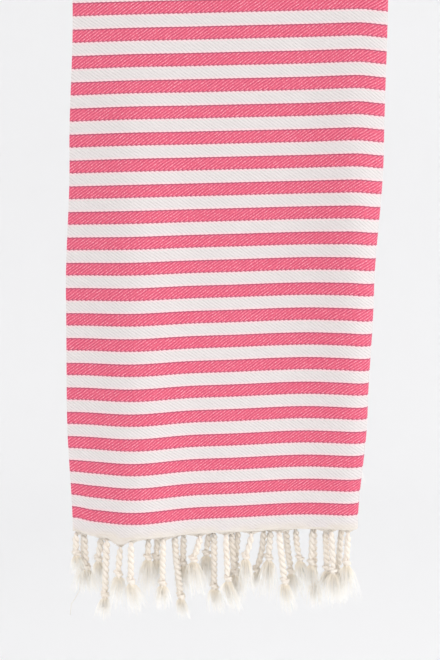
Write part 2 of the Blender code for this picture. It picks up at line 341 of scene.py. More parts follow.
def twill_group():
    """The twill: its diagonals, their relief, how clear they are, and where a warp end peeps out.

    Across and Along are distances on the flat cloth. Lean is 1 or -1, for the way the diagonals run.
    """
    tree = bpy.data.node_groups.new("twill weave", "ShaderNodeTree")
    for name in ("Across", "Along", "Lean"):
        tree.interface.new_socket(name, in_out="INPUT", socket_type="NodeSocketFloat")
    for name in ("Diagonal", "Relief", "Streak", "Clearness", "Fleck"):
        tree.interface.new_socket(name, in_out="OUTPUT", socket_type="NodeSocketFloat")
    source = tree.nodes.new("NodeGroupInput")
    result = tree.nodes.new("NodeGroupOutput")
    across, along, lean = (source.outputs[name] for name in ("Across", "Along", "Lean"))
    ends = add_math(tree, "DIVIDE", across, END_PITCH)
    picks = add_math(tree, "DIVIDE", along, PICK_PITCH)
    spot = tree.nodes.new("ShaderNodeCombineXYZ")
    tree.links.new(across, spot.inputs[0])
    tree.links.new(along, spot.inputs[1])
    stray = add_math(tree, "MULTIPLY_ADD", add_noise(tree, spot.outputs[0], WANDER_SCALE, 2),
                     2 * DIAGONAL_WANDER, -DIAGONAL_WANDER)
    steps = add_math(tree, "MULTIPLY_ADD", lean, picks, ends)
    phase = add_math(tree, "MULTIPLY_ADD", steps, 1 / TWILL_REPEAT, stray)
    diagonal = add_math(tree, "FRACT", phase)
    wave = add_math(tree, "COSINE", add_math(tree, "MULTIPLY", phase, math.tau))
    rib = add_math(tree, "MULTIPLY_ADD", wave, 0.5, 0.5)
    weft = add_math(tree, "PINGPONG", picks, 0.5)
    warp = add_math(tree, "PINGPONG", ends, 0.5)
    warp_up = add_math(tree, "LESS_THAN", add_math(tree, "PINGPONG", diagonal, 0.5), WARP_FLOAT)
    threads = add_math(tree, "ADD", add_math(tree, "MULTIPLY", warp, warp_up),
                       add_math(tree, "MULTIPLY", weft, add_math(tree, "SUBTRACT", 1.0, warp_up)))
    relief = add_math(tree, "ADD", add_math(tree, "MULTIPLY", rib, RIB_HEIGHT),
                      add_math(tree, "MULTIPLY", threads, THREAD_HEIGHT))
    stretch = tree.nodes.new("ShaderNodeCombineXYZ")
    tree.links.new(add_math(tree, "MULTIPLY", across, STREAK_SCALE), stretch.inputs[0])
    tree.links.new(add_math(tree, "FLOOR", picks), stretch.inputs[1])
    streak = add_noise(tree, stretch.outputs[0], 1.0, 2)
    patches = add_noise(tree, spot.outputs[0], PATCH_SCALE, 2)
    patches = add_math(tree, "MULTIPLY_ADD", patches, PATCH_WEIGHT, CLEAR_BASE)
    grain = add_noise(tree, spot.outputs[0], GRAIN_SCALE, 1)
    clearness = add_math(tree, "MULTIPLY_ADD", grain, GRAIN_WEIGHT, patches, clamp=True)
    crossing = tree.nodes.new("ShaderNodeCombineXYZ")
    tree.links.new(add_math(tree, "FLOOR", ends), crossing.inputs[0])
    tree.links.new(add_math(tree, "FLOOR", add_math(tree, "DIVIDE", picks, 2.0)), crossing.inputs[1])
    random_value = tree.nodes.new("ShaderNodeTexWhiteNoise")
    random_value.noise_dimensions = "2D"
    tree.links.new(crossing.outputs[0], random_value.inputs["Vector"])
    from_rib = add_math(tree, "ABSOLUTE", add_math(tree, "SUBTRACT", diagonal, FLECK_MIDDLE))
    chosen = add_math(tree, "GREATER_THAN", random_value.outputs["Value"], 1 - FLECK_SHARE)
    fleck = add_math(tree, "MULTIPLY", add_math(tree, "LESS_THAN", from_rib, FLECK_WIDTH), chosen)
    for output, socket in zip((diagonal, relief, streak, clearness, fleck), result.inputs):
        tree.links.new(output, socket)
    return tree


PINK_PLAIN = (0.785, 0.132, 0.212)
# Across a pink diagonal: the light line is partly the white warp showing and partly a painted highlight,
# and the dark line beside it is painted shade.
PINK_TWILL = (
    # place across a diagonal, colour
    (0.00, (0.73, 0.100, 0.180)),
    (0.18, (0.78, 0.118, 0.200)),
    (0.38, (0.93, 0.322, 0.418)),
    (0.54, (0.86, 0.168, 0.265)),
    (0.76, (0.48, 0.046, 0.100)),
    (0.92, (0.70, 0.094, 0.175)),
)
PINK_FLECK = (1.0, 0.52, 0.60)
FLECK_STRENGTH = 0.6
WHITE_PLAIN = (0.760, 0.709, 0.702)
# Across a white diagonal, warp and weft are both white: its light line is a painted highlight and its grey
# line painted shade between the threads.
WHITE_TWILL = (
    (0.00, (0.756, 0.705, 0.698)),
    (0.38, (0.838, 0.786, 0.778)),
    (0.58, (0.756, 0.705, 0.698)),
    (0.77, (0.585, 0.540, 0.537)),
    (0.92, (0.738, 0.688, 0.681)),
)
# The dark line along each stripe's edges is painted shade, over a groove cut in the relief;
# STRIPE_EDGE_PINK is its colour.
STRIPE_EDGE_PINK = (0.30, 0.075, 0.13)
# Next to each stripe the white takes a pink blush: partly pink weft showing under the white warp, partly
# painted bounce light from the pink.
STRIPE_EDGE_WHITE = (1.0, 0.66, 0.70)
EDGE_SHARPNESS = 12.0
DARK_LINE_WIDTH = 0.0011
DARK_LINE_INSET = 0.0004        # from the stripe's edge to the middle of the line
DARK_LINE_GROOVE = 0.8
LINE_STRENGTHS = (0.70, 0.80)   # of the dark line, on a stripe's lower edge and on its upper one
BLUSH_WIDTH = 0.0024
BLUSH_STRENGTH = 0.80
TEETH = (0.0010, 0.0005)        # how far the twill steps in and out, on the lower edge and on the upper one
END_BAND = 0.0065               # over which the white fades to cream, in patches, towards each end
END_BAND_CREAM = (0.795, 0.740, 0.680)
END_PATCH_SCALE = 41
END_PICK_PITCH = 0.0009
END_PICK_SCALE = 45.0
END_PICK_SHADE = (0.700, 0.625, 0.545)
STREAK_LOW, STREAK_RANGE = 0.93, 0.14       # the picks' shade


def striped_cotton():
    """Pink and white stripes in twills that lean opposite ways, with thin lines of painted shade where they
    meet.
    """
    material = bpy.data.materials.new("striped_cotton")
    material.use_nodes = True
    tree = material.node_tree
    shader = tree.nodes["Principled BSDF"]
    uv = tree.nodes.new("ShaderNodeUVMap")
    uv.uv_map = "flat"
    split = tree.nodes.new("ShaderNodeSeparateXYZ")
    tree.links.new(uv.outputs[0], split.inputs[0])
    across, along = split.outputs[0], split.outputs[1]
    weave = twill_group()

    twills = []
    for lean in (-1.0, 1.0):
        node = tree.nodes.new("ShaderNodeGroup")
        node.node_tree = weave
        tree.links.new(across, node.inputs["Across"])
        tree.links.new(along, node.inputs["Along"])
        node.inputs["Lean"].default_value = lean
        twills.append(node.outputs)
    rising, falling = twills

    # Where the stripes change: the edge steps in and out with the diagonals of the pink.
    turn = add_math(tree, "COSINE", add_math(tree, "MULTIPLY", along, math.pi / STRIPE))
    upper = add_math(tree, "MULTIPLY_ADD", turn, 0.5, 0.5)
    tooth = add_math(tree, "MULTIPLY_ADD", upper, TEETH[1] - TEETH[0], TEETH[0])
    rib = add_math(tree, "MULTIPLY_ADD", add_math(tree, "PINGPONG", rising["Diagonal"], 0.5), 2.0, -0.5)
    stepped = add_math(tree, "MAXIMUM", add_math(tree, "MULTIPLY_ADD", tooth, rib, along), STRIPE / 2)
    stepped = add_math(tree, "MINIMUM", stepped, CLOTH_LENGTH - STRIPE / 2)
    wave = add_math(tree, "SINE", add_math(tree, "MULTIPLY", stepped, -math.pi / STRIPE))
    is_pink = add_math(tree, "MULTIPLY_ADD", wave, EDGE_SHARPNESS, 0.5, clamp=True)
    from_edge = add_math(tree, "PINGPONG", stepped, STRIPE / 2)
    from_line = add_math(tree, "ABSOLUTE", add_math(tree, "SUBTRACT", from_edge, DARK_LINE_INSET))
    near_line, near_blush = (
        add_math(tree, "SUBTRACT", 1.0, add_math(tree, "DIVIDE", distance, width), clamp=True)
        for distance, width in ((from_line, DARK_LINE_WIDTH), (from_edge, BLUSH_WIDTH)))
    lower_line, upper_line = LINE_STRENGTHS
    line = add_math(tree, "MULTIPLY_ADD", upper, upper_line - lower_line, lower_line)
    line = add_math(tree, "MULTIPLY", near_line, line)

    # The twill ramps paint highlight and shade along the diagonals.
    pink = add_ramp(tree, rising["Diagonal"], PINK_TWILL)
    pink = add_mix(tree, rising["Clearness"], PINK_PLAIN, pink)
    pink = add_mix(tree, add_math(tree, "MULTIPLY", rising["Fleck"], FLECK_STRENGTH), pink, PINK_FLECK)
    # Painted shade line along the stripe's edges.
    pink = add_mix(tree, line, pink, STRIPE_EDGE_PINK)
    white = add_ramp(tree, falling["Diagonal"], WHITE_TWILL)
    white = add_mix(tree, falling["Clearness"], WHITE_PLAIN, white)
    # Pink blush on the white by the stripe edges, partly painted bounce light.
    white = add_mix(tree, add_math(tree, "MULTIPLY", near_blush, BLUSH_STRENGTH), white, STRIPE_EDGE_WHITE)

    # The ends: cream picks past the last stripe, and patches of cream in the white before them.
    from_end = add_math(tree, "MINIMUM", along, add_math(tree, "SUBTRACT", CLOTH_LENGTH, along))
    band = add_math(tree, "SUBTRACT", 1.0, add_math(tree, "DIVIDE", from_end, END_BAND), clamp=True)
    patches = add_noise(tree, uv.outputs[0], END_PATCH_SCALE, 1)
    patches = add_math(tree, "MULTIPLY_ADD", patches, 4.0, -1.2, clamp=True)
    past_stripe = add_math(tree, "MULTIPLY", from_end, -4 / HEM, clamp=True)
    band = add_math(tree, "MAXIMUM", add_math(tree, "MULTIPLY", band, patches), past_stripe)
    end_pick = tree.nodes.new("ShaderNodeCombineXYZ")
    tree.links.new(add_math(tree, "MULTIPLY", across, END_PICK_SCALE), end_pick.inputs[0])
    pick = add_math(tree, "FLOOR", add_math(tree, "DIVIDE", from_end, END_PICK_PITCH))
    tree.links.new(pick, end_pick.inputs[1])
    fade = add_noise(tree, end_pick.outputs[0], 1.0, 2)
    fade = add_math(tree, "MULTIPLY_ADD", fade, 3.2, -1.35, clamp=True)
    white = add_mix(tree, band, white, add_mix(tree, fade, END_BAND_CREAM, END_PICK_SHADE))
    cloth = add_mix(tree, is_pink, white, pink)
    streaks = add_math(tree, "MULTIPLY_ADD", rising["Streak"], STREAK_RANGE, STREAK_LOW)
    shade = tree.nodes.new("ShaderNodeCombineXYZ")
    for socket in shade.inputs:
        tree.links.new(streaks, socket)
    cloth = add_mix(tree, 1.0, cloth, shade.outputs[0], "MULTIPLY")
    tree.links.new(cloth, shader.inputs["Base Color"])

    is_white = add_math(tree, "SUBTRACT", 1.0, is_pink)
    relief = add_math(tree, "ADD", add_math(tree, "MULTIPLY", rising["Relief"], is_pink),
                      add_math(tree, "MULTIPLY", falling["Relief"], is_white))
    relief = add_math(tree, "SUBTRACT", relief, add_math(tree, "MULTIPLY", line, DARK_LINE_GROOVE))
    bump = tree.nodes.new("ShaderNodeBump")
    bump.inputs["Strength"].default_value = 0.8
    bump.inputs["Distance"].default_value = 0.0003
    tree.links.new(relief, bump.inputs["Height"])
    tree.links.new(bump.outputs[0], shader.inputs["Normal"])
    shader.inputs["Roughness"].default_value = 0.9
    shader.inputs["Specular IOR Level"].default_value = 0.2
    shader.inputs["Sheen Weight"].default_value = 0.06
    shader.inputs["Sheen Roughness"].default_value = 0.5
    return material


panel.data.materials.clear()
panel.data.materials.append(striped_cotton())
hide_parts("cloth")
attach(panel, "root")


# Front fringe: cords. The warp ends are left past the last pick. They run along the hem into thirty cords
# of two plies, and each cord is tied in a tight overhand knot.
FRONT_TASSELS = (
    # layer, root x, knot x, root to knot, bend (1 is straight, more bends low down), tuft length, its lean
    (FRONT, -0.147, -0.146, 0.020, 1.3, 0.018, 0.003),
    (FRONT, -0.114, -0.116, 0.056, 1.0, 0.019, -0.001),
    (FRONT, -0.089, -0.089, 0.039, 1.0, 0.026, 0.006),
    (FRONT, -0.057, -0.058, 0.044, 1.0, 0.022, -0.001),
    (FRONT, -0.020, -0.027, 0.024, 1.6, 0.032, 0.004),
    (FRONT, 0.006, 0.008, 0.045, 1.4, 0.028, 0.006),
    (FRONT, 0.032, 0.026, 0.024, 1.6, 0.030, 0.002),
    (FRONT, 0.060, 0.066, 0.051, 1.2, 0.026, 0.003),
    (FRONT, 0.113, 0.115, 0.040, 1.0, 0.030, 0.002),
    (FRONT, 0.130, 0.128, 0.031, 1.0, 0.032, 0.001),
    (MIDDLE, -0.139, -0.137, 0.036, 1.8, 0.022, 0.006),
    (MIDDLE, -0.121, -0.124, 0.024, 1.3, 0.030, 0.003),
    (MIDDLE, -0.072, -0.073, 0.020, 1.0, 0.034, -0.003),
    (MIDDLE, -0.046, -0.040, 0.064, 1.4, 0.017, 0.002),
    (MIDDLE, -0.006, -0.006, 0.057, 1.0, 0.022, 0.004),
    (MIDDLE, 0.012, 0.015, 0.043, 1.5, 0.026, 0.002),
    (MIDDLE, 0.052, 0.050, 0.030, 1.0, 0.036, -0.002),
    (MIDDLE, 0.078, 0.082, 0.032, 2.2, 0.030, 0.006),
    (MIDDLE, 0.095, 0.094, 0.036, 1.0, 0.026, 0.002),
    (MIDDLE, 0.108, 0.110, 0.042, 1.0, 0.026, -0.001),
    (REAR, -0.140, -0.141, 0.034, 1.0, 0.026, -0.002),
    (FRONT, -0.100, -0.102, 0.027, 1.0, 0.028, -0.002),
    (REAR, -0.063, -0.065, 0.024, 1.5, 0.028, -0.001),
    (REAR, -0.037, -0.038, 0.034, 1.0, 0.028, 0.001),
    (REAR, -0.011, -0.014, 0.025, 1.0, 0.030, -0.002),
    (REAR, 0.019, 0.016, 0.039, 1.0, 0.026, 0.001),
    (REAR, 0.045, 0.038, 0.046, 2.4, 0.014, -0.003),
    (REAR, 0.068, 0.074, 0.049, 1.5, 0.024, 0.002),
    (REAR, 0.097, 0.098, 0.059, 1.0, 0.022, 0.001),
    (REAR, 0.125, 0.122, 0.047, 1.0, 0.026, -0.002),
)
LAYER_SWING = {REAR: -0.0030, MIDDLE: 0.0040, FRONT: 0.0095}    # how far a layer's cords swing outwards
SWING_REACH = 0.040             # below the root, where they have swung that far
CORD_THICKNESS = (0.90, 1.04)   # the thinnest and the thickest cord
PLY_RADIUS = 0.00205
PLY_ORBIT = 0.00165             # from the cord's axis to a ply's
PLY_PITCHES = (0.0112, 0.0138)  # down the cord for one whole turn, from the tightest cord to the loosest
PLY_STEP = 0.0011
PLY_RIDGES = 6                  # broad ridges round a ply
PLY_GROOVE = 0.90               # radius between two of them, as a share of the ply's radius
PLY_TURN = -0.42                # how much a ply turns on itself at each step, against the cord's own twist
PLY_SWELL = 0.09                # how much a ply swells and thins along its length
SWELL_SCALE = 230
ROOT_DROP = 0.0016              # from the hem down to where the twist starts
ROOT_LENGTH = 0.0060            # over which the cord reaches its full thickness
ROOT_ORBIT, ROOT_THICKNESS = 0.45, 0.50     # of a ply at the very top, as shares of its full ones
ROOT_YARNS = 26
ROOT_REACH = 0.020              # a cord gathers the yarns no farther than this along the hem
ROOT_MARGIN = 0.002             # and no nearer than this to the cloth's edges
ROOT_FOOT = 0.0022              # from the twist's start down to where its yarns end inside it
FOOT_WIDTH = 0.0022             # of those ends, to each side of the cord's middle
FOOT_DEPTHS = (-0.0010, 0.0014)
FOOT_FALL = 0.0015              # how much lower the outermost of them lie
ROOT_YARN_RADIUS = 0.00042
ROOT_YARN_SIZES = (0.8, 1.0, 1.1, 1.15, 1.0)
ROOT_YARN_PATH = ((0.30, 0.12), (0.62, 0.34), (0.86, 0.66))     # share inwards, share down
ROOT_YARN_STRAY = 0.0004
KNOT_TOP = 0.0050               # from the knot's middle up to where the cord enters, and down to its neck
KNOT_TURN_RANGE = 1.6           # radians between the knots turned farthest each way about their cords
KNOT_TURN_MIX = 97              # makes neighbouring knots turn differently
KNOT_ROUTE = (
    # the cord's middle line through an overhand knot drawn tight: right, towards the viewer, up
    (-0.0008, 0.0004, 0.0022),
    (-0.0012, -0.0006, -0.0008),
    (0.0004, -0.0020, -0.0022),
    (0.0026, -0.0008, -0.0016),
    (0.0024, 0.0016, -0.0002),
    (0.0000, 0.0026, 0.0008),
    (-0.0025, 0.0012, 0.0016),
    (-0.0022, -0.0014, 0.0018),
    (0.0002, -0.0018, 0.0012),
    (0.0014, -0.0002, 0.0004),
    (0.0008, 0.0006, -0.0018),
)
KNOT_STEPS = 3                  # steps from one point of the route to the next
KNOT_PLY_RADIUS = 0.00155
KNOT_PLY_ORBIT = 0.00110
FUZZ_PER_CORD = 40
FUZZ_LENGTH = (0.0015, 0.0040)
FUZZ_RADIUS = 0.00007
FUZZ_STAND = 0.0004             # how far a fibre's middle stands off its straight line
WELD_DISTANCE = 0.000002        # below which points of a line are one
STRAY_RADIUS = 0.00030
STRAY_YARN = (
    # the one loose yarn that hangs out at the left
    (-0.1405, -0.052, -0.905),
    (-0.1415, -0.052, -0.918),
    (-0.1460, -0.052, -0.926),
    (-0.1500, -0.052, -0.932),
    (-0.1515, -0.052, -0.944),
)


def hang_point(root, end, tassel, below):
    """A point of a cord's middle line, at a height below its root."""
    layer, root_x, knot_x, drop, bend = tassel[:5]
    share = min(below / drop, 1.1)
    x = root.x + (knot_x - root_x) * share ** bend
    y = root.y - end * LAYER_SWING[layer] * math.sqrt(min(below / SWING_REACH, 1))
    return Vector((x, y, root.z - below))


def hem_point(end, layer, x, past=0.0):
    """A point of a layer's hem, or a little past it."""
    return layer_point(layer, x, end * ((FRONT_LENGTH if end > 0 else BACK_LENGTH) + past))


def smooth_route(points, steps):
    """A smooth line through points, with that many steps from each to the next."""
    route = []
    for k in range(len(points) - 1):
        before, here, there, after = (points[min(max(k + j, 0), len(points) - 1)] for j in (-1, 0, 1, 2))
        for step in range(steps):
            t = step / steps
            route.append(0.5 * (2 * here + (there - before) * t
                                + (2 * before - 5 * here + 4 * there - after) * t * t
                                + (3 * here - before - 3 * there + after) * t * t * t))
    return route + [points[-1]]


def cord_axis(end, tassel):
    """The middle line of a cord, from its root through its knot to its neck, and where its knot starts."""
    layer, root_x, _, drop = tassel[:4]
    root = hem_point(end, layer, root_x, HEM)
    last = drop - KNOT_TOP - ROOT_DROP
    count = max(3, round(last / PLY_STEP))
    points = [hang_point(root, end, tassel, ROOT_DROP + last * k / count) for k in range(count + 1)]
    centre = hang_point(root, end, tassel, drop)
    angle = (root_x * KNOT_TURN_MIX % 1.0 - 0.5) * KNOT_TURN_RANGE + (0 if end > 0 else math.pi)
    turn = Matrix.Rotation(angle, 3, "Z")
    knot = [centre + turn @ Vector((right, -near, up)) for right, near, up in KNOT_ROUTE]
    neck = centre - Vector((0, 0, KNOT_TOP))
    return points + smooth_route([points[-1], *knot, neck], KNOT_STEPS)[1:], len(points)


def hem_share(end, tassels, tassel):
    """The stretch of hem whose yarns a cord gathers: at most halfway to its layer's next cords."""
    layer, root_x = tassel[:2]
    left, right = edges(end * (FRONT_LENGTH if end > 0 else BACK_LENGTH))
    roots = [other[1] for other in tassels if other[0] == layer]
    before = [x for x in roots if x < root_x]
    after = [x for x in roots if x > root_x]
    low = (max(before) + root_x) / 2 if before else left + ROOT_MARGIN
    high = (min(after) + root_x) / 2 if after else right - ROOT_MARGIN
    return max(low, root_x - ROOT_REACH), min(high, root_x + ROOT_REACH)


def add_line(curve, points, radii, turn=0.0):
    """One yarn, ply or thread of a fringe: a line of points with a radius at each."""
    spline = curve.splines.new("POLY")
    spline.points.add(len(points) - 1)
    for k, point in enumerate(spline.points):
        point.co = (*points[k], 1)
        point.radius = radii[k]
        point.tilt = turn * k
    spline.use_smooth = True


def add_cord(plies, yarns, end, tassel, stretch, chance):
    """One cord: its two twisted plies with their knot, the yarns that gather into it, and its fuzz."""
    layer, root_x = tassel[:2]
    axis, knot_start = cord_axis(end, tassel)
    thickness = chance.uniform(*CORD_THICKNESS)
    pitch = chance.uniform(*PLY_PITCHES)
    start_turn = chance.uniform(0, math.tau)

    # The plies wind round the cord's middle line on a frame that is carried along it.
    normal = Vector((0, -end, 0))
    tracks = ([], [])
    radii = ([], [])
    length = 0.0
    for k, point in enumerate(axis):
        ahead = axis[min(k + 1, len(axis) - 1)] - axis[max(k - 1, 0)]
        tangent = ahead.normalized()
        normal = (normal - tangent * normal.dot(tangent)).normalized()
        side = normal.cross(tangent)
        if k:
            length += (point - axis[k - 1]).length
        tied = smooth((k - knot_start + 2) / 3)
        gathered = smooth(length / ROOT_LENGTH)
        orbit = PLY_ORBIT + (KNOT_PLY_ORBIT - PLY_ORBIT) * tied
        orbit *= ROOT_ORBIT + (1 - ROOT_ORBIT) * gathered
        radius = PLY_RADIUS + (KNOT_PLY_RADIUS - PLY_RADIUS) * tied
        radius *= ROOT_THICKNESS + (1 - ROOT_THICKNESS) * gathered
        turn = start_turn + math.tau * length / pitch
        for ply in (0, 1):
            angle = turn + ply * math.pi
            swell = 1 + PLY_SWELL * noise.noise((root_x * 900, ply * 7.3, length * SWELL_SCALE))
            out = math.cos(angle) * normal + math.sin(angle) * side
            tracks[ply].append(point + thickness * orbit * out)
            radii[ply].append(radius * thickness * swell)
    for track, sizes in zip(tracks, radii):
        add_line(plies, track, sizes, PLY_TURN)

    # All the yarns of its stretch of hem run down and in to the cord's top.
    low, high = stretch
    top = hem_point(end, layer, root_x, HEM) - Vector((0, 0, ROOT_DROP + ROOT_FOOT))
    for k in range(ROOT_YARNS):
        x = low + (high - low) * (k + 0.5) / ROOT_YARNS + chance.uniform(-ROOT_YARN_STRAY, ROOT_YARN_STRAY)
        share = (x - root_x) / ROOT_REACH
        outwards = -end * chance.uniform(*FOOT_DEPTHS)
        foot = top + Vector((share * FOOT_WIDTH, outwards, -FOOT_FALL * abs(share)))
        line = [hem_point(end, layer, x, HEM * 0.5)]
        for inward, down in ROOT_YARN_PATH:
            past = HEM + chance.uniform(-0.0002, 0.0003)
            along_hem = hem_point(end, layer, x + (root_x - x) * inward, past)
            spot = along_hem.lerp(foot, down)
            line.append(Vector((along_hem.x * 0.7 + spot.x * 0.3, spot.y, spot.z)))
        line.append(foot)
        add_line(yarns, line, [ROOT_YARN_RADIUS * size for size in ROOT_YARN_SIZES])

    # Short fibres that stand off the cord.
    for _ in range(FUZZ_PER_CORD):
        spot = chance.randrange(2, len(axis) - 1)
        angle = chance.uniform(0, math.tau)
        out = Vector((math.cos(angle), math.sin(angle), 0))
        start = axis[spot] + out * (PLY_RADIUS + PLY_ORBIT) * thickness * 0.75
        fibre = Vector((chance.uniform(-0.8, 0.8), chance.uniform(-0.8, 0.8), chance.uniform(-1, 0.3)))
        fibre = (out * chance.uniform(0.2, 0.9) + fibre).normalized() * chance.uniform(*FUZZ_LENGTH)
        middle = start + fibre * 0.5 + out * FUZZ_STAND
        add_line(yarns, [start, middle, start + fibre], [FUZZ_RADIUS] * 3)


def line_outline(name, sides, groove):
    """The outline that a ply or thread is swept with: a small ring, grooved at every other point."""
    bpy.ops.object.select_all(action="DESELECT")
    bpy.ops.mesh.primitive_circle_add(vertices=sides, radius=1)
    outline = bpy.context.object
    outline.name = name
    for vert in outline.data.vertices:
        if vert.index % 2:
            vert.co *= groove
    bpy.ops.object.convert(target="CURVE")
    return bpy.context.object


def new_lines(name, sides, groove=1.0):
    """An empty curve that sweeps each of its lines with a ring of that many sides."""
    curve = bpy.data.curves.new(name, "CURVE")
    curve.dimensions = "3D"
    curve.bevel_mode = "OBJECT"
    curve.bevel_object = line_outline(name + "_outline", sides, groove)
    curve.use_fill_caps = True
    lines = bpy.data.objects.new(name, curve)
    bpy.context.collection.objects.link(lines)
    return lines


def finish_lines(name, groups, material, rounded=True):
    """Curves of lines as one mesh with its material. Threads too fine to look round stay faceted."""
    outlines = [lines.data.bevel_object for lines in groups]
    bpy.ops.object.select_all(action="DESELECT")
    for lines in groups:
        lines.select_set(True)
    bpy.context.view_layer.objects.active = groups[0]
    bpy.ops.object.convert(target="MESH")
    if len(groups) > 1:
        bpy.ops.object.join()
    piece = bpy.context.object
    piece.name = piece.data.name = name
    bpy.ops.object.mode_set(mode="EDIT")
    bpy.ops.mesh.select_all(action="SELECT")
    bpy.ops.mesh.remove_doubles(threshold=WELD_DISTANCE)
    bpy.ops.object.mode_set(mode="OBJECT")
    shade = bpy.ops.object.shade_smooth if rounded else bpy.ops.object.shade_flat
    shade()
    for outline in outlines:
        bpy.data.objects.remove(outline)
    piece.data.materials.clear()
    piece.data.materials.append(material)
    return piece


def make_cords(name, end, tassels, seed, material, strays=()):
    """All the cords of one end as one mesh, with any stray yarns."""
    chance = random.Random(seed)
    plies = new_lines(name + "_plies", 2 * PLY_RIDGES, PLY_GROOVE)
    yarns = new_lines(name + "_yarns", 3)
    for tassel in tassels:
        add_cord(plies.data, yarns.data, end, tassel, hem_share(end, tassels, tassel), chance)
    for stray in strays:
        add_line(yarns.data, [Vector(point) for point in stray], [STRAY_RADIUS] * len(stray))
    return finish_lines(name, [plies, yarns], material)


# CORD_SHADE is the darker colour: painted shade in the grooves between the yarns, and random darker tone
# along the cords.
CORD_CREAM = (0.98, 0.918, 0.838)
CORD_SHADE = (0.84, 0.685, 0.520)
YARNS_ROUND_PLY = 12            # yarns that show round a ply
FIBRE_STRETCH = (20.0, 70.0)    # fibre noise, along a ply and round it


def twisted_cotton():
    """Natural cotton yarns laid round a ply: cream, with painted shade in the grooves between them, and
    fibrous.
    """
    material = bpy.data.materials.new("twisted_cotton")
    material.use_nodes = True
    tree = material.node_tree
    shader = tree.nodes["Principled BSDF"]
    uv = tree.nodes.new("ShaderNodeUVMap")
    uv.uv_map = "UVMap"
    split = tree.nodes.new("ShaderNodeSeparateXYZ")
    tree.links.new(uv.outputs[0], split.inputs[0])
    length, around = split.outputs[0], split.outputs[1]
    turned = add_math(tree, "MULTIPLY", around, float(YARNS_ROUND_PLY))
    groove = add_math(tree, "MULTIPLY", add_math(tree, "PINGPONG", turned, 0.5), 2.0)
    groove = add_math(tree, "POWER", groove, 2.0)
    stretch = tree.nodes.new("ShaderNodeCombineXYZ")
    for socket, place_on_ply, scale in zip(stretch.inputs, (length, around), FIBRE_STRETCH):
        tree.links.new(add_math(tree, "MULTIPLY", place_on_ply, scale), socket)
    fibre = add_noise(tree, stretch.outputs[0], 1.0, 3)
    slow = add_noise(tree, tree.nodes.new("ShaderNodeTexCoord").outputs["Object"], 55, 2)
    # Painted shade in the grooves, plus random tone and fibre streaks.
    tone = add_math(tree, "MULTIPLY_ADD", groove, 0.30, add_math(tree, "MULTIPLY_ADD", slow, 0.6, -0.25))
    tone = add_math(tree, "ADD", tone, add_math(tree, "MULTIPLY_ADD", fibre, 0.5, -0.25), clamp=True)
    tree.links.new(add_mix(tree, tone, CORD_CREAM, CORD_SHADE), shader.inputs["Base Color"])
    height = add_math(tree, "SUBTRACT", add_math(tree, "MULTIPLY", fibre, 0.5), groove)
    bump = tree.nodes.new("ShaderNodeBump")
    bump.inputs["Strength"].default_value = 0.6
    bump.inputs["Distance"].default_value = 0.00025
    tree.links.new(height, bump.inputs["Height"])
    tree.links.new(bump.outputs[0], shader.inputs["Normal"])
    shader.inputs["Roughness"].default_value = 0.92
    shader.inputs["Specular IOR Level"].default_value = 0.2
    shader.inputs["Sheen Weight"].default_value = 0.15
    shader.inputs["Sheen Roughness"].default_value = 0.5
    return material


twisted_yarn = twisted_cotton()
front_cords = make_cords("front_cords", 1, FRONT_TASSELS, 5, twisted_yarn, [STRAY_YARN])
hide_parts("fringe_front")
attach(front_cords, "root")


# Front fringe: brushes. Below each knot the yarns are left loose and open into a soft brush of fine
# threads, still crimped from the twist and cut or worn to uneven lengths.
THREADS = 148
THREAD_STEPS = 7
THREAD_RADIUS = 0.00022
THREAD_TAPER = (1.2, 0.4)       # of the radius, at the knot and at the tip
THREAD_REACH = (0.30, 1.12)     # shortest and longest thread, as shares of the tuft's length
THREAD_ROOT = 0.0015            # how far up inside the knot a thread starts
GOLDEN_TURN = 2.39996           # from one thread to the next round the brush
TURN_STRAY = 0.3
BRUSH_RADIUS = 0.0025
BRUSH_FULLNESS = (0.85, 1.15)
BRUSH_FLARE = 0.0108            # how far the outermost threads of a long tuft spread
FLARE_SHARES = (0.55, 1.20)
LONG_TUFT = 0.028
CLUMPS = 3                      # lumps round a brush
CLUMPING = 0.30
CRIMP_LENGTH = 0.0075
CRIMP_DEPTH = (0.00015, 0.00050)
BRUSH_SWAY = 0.0015             # how far a whole brush may swing besides its lean


def add_brush(threads, end, tassel, chance):
    """One brush of loose threads under a knot."""
    tuft_length, lean = tassel[5:]
    axis, _ = cord_axis(end, tassel)
    neck = axis[-1]
    sideways, outwards = (chance.uniform(-BRUSH_SWAY, BRUSH_SWAY) for _ in range(2))
    sway = Vector((lean + sideways, outwards, 0))
    fullness = chance.uniform(*BRUSH_FULLNESS)
    lump_turn = chance.uniform(0, math.tau)
    thick, thin = THREAD_TAPER
    for k in range(THREADS):
        ring = math.sqrt((k + 0.5) / THREADS)
        angle = k * GOLDEN_TURN + chance.uniform(-TURN_STRAY, TURN_STRAY)
        out = Vector((math.cos(angle), math.sin(angle), 0)) * ring
        reach = tuft_length * chance.uniform(*THREAD_REACH)
        lump = 1 + CLUMPING * math.cos(CLUMPS * angle + lump_turn)
        flare = BRUSH_FLARE * fullness * lump * min(reach / LONG_TUFT, 1.0) * chance.uniform(*FLARE_SHARES)
        crimp = chance.uniform(*CRIMP_DEPTH)
        start = chance.uniform(0, math.tau)
        points = []
        radii = []
        for step in range(THREAD_STEPS + 1):
            down = step / THREAD_STEPS
            turn = start + math.tau * down * reach / CRIMP_LENGTH
            wave = Vector((math.cos(turn), math.sin(turn), 0)) * crimp * min(3 * down, 1)
            below = Vector((0, 0, THREAD_ROOT - (reach + THREAD_ROOT) * down))
            spread = out * (BRUSH_RADIUS + flare * down ** 0.5)
            points.append(neck + spread + sway * down ** 1.3 + wave + below)
            radii.append(THREAD_RADIUS * (thick - (thick - thin) * down))
        add_line(threads, points, radii)


